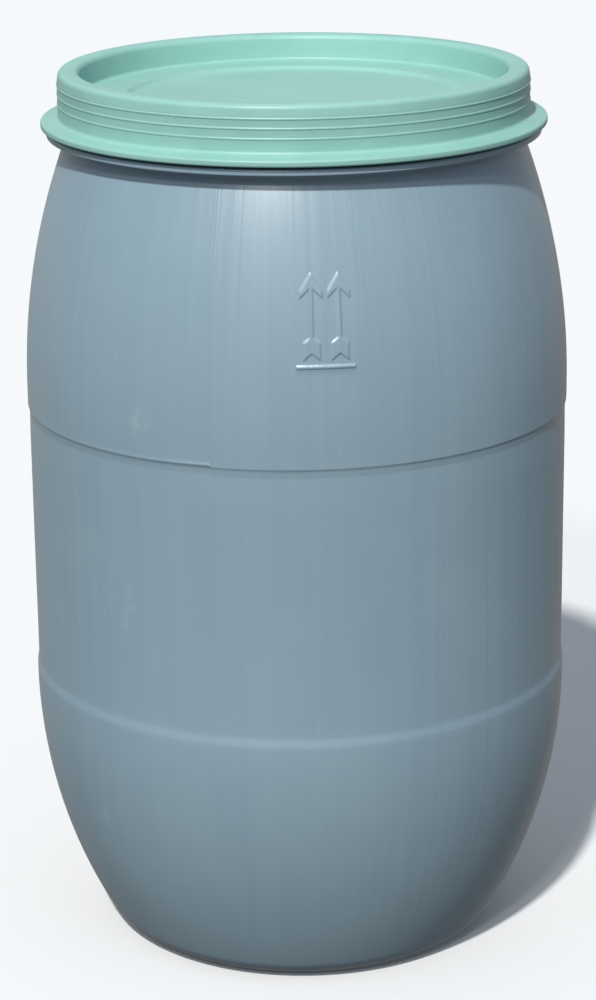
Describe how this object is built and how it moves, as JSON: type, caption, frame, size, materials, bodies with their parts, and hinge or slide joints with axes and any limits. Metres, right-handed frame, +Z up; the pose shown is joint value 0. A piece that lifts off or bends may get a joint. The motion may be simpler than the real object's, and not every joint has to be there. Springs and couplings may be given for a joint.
{
  "type": "plastic open head drum",
  "caption": "Tall barrel-shaped open head drum with two rolling rings, a threaded neck, a recessed screw-on lid and its ring gasket.",
  "frame": {"origin": "centre of the standing ring, on the surface that the drum stands on", "axes": "+Z up along the drum's axis, towards the lid; -Y is the front, with the raised mark"},
  "size_m": [0.58, 0.58, 0.9462],
  "materials": {
    "barrel_plastic": "satin blow-moulded HDPE",
    "lid_plastic": "satin injection-moulded HDPE",
    "gasket_rubber": "matt moulded rubber"
  },
  "bodies": {
    "drum": {"drum_body": "barrel_plastic"},
    "gasket": {"lid_gasket": "gasket_rubber"},
    "lid": {"lid": "lid_plastic"}
  },
  "joints": [
    {"name": "lid_rise", "type": "slide", "parent": "drum", "child": "gasket", "axis": [0, 0, 1], "range_m": [0, 0.06]},
    {"name": "lid_turn", "type": "hinge", "parent": "gasket", "child": "lid", "pos_m": [0, 0, 0.915], "axis": [0, 0, 1], "range_deg": [0, 1800]}
  ],
  "couplings": [
    {"joint": "lid_rise", "follows": "lid_turn", "m_per_rad": 0.0019099}
  ]
}
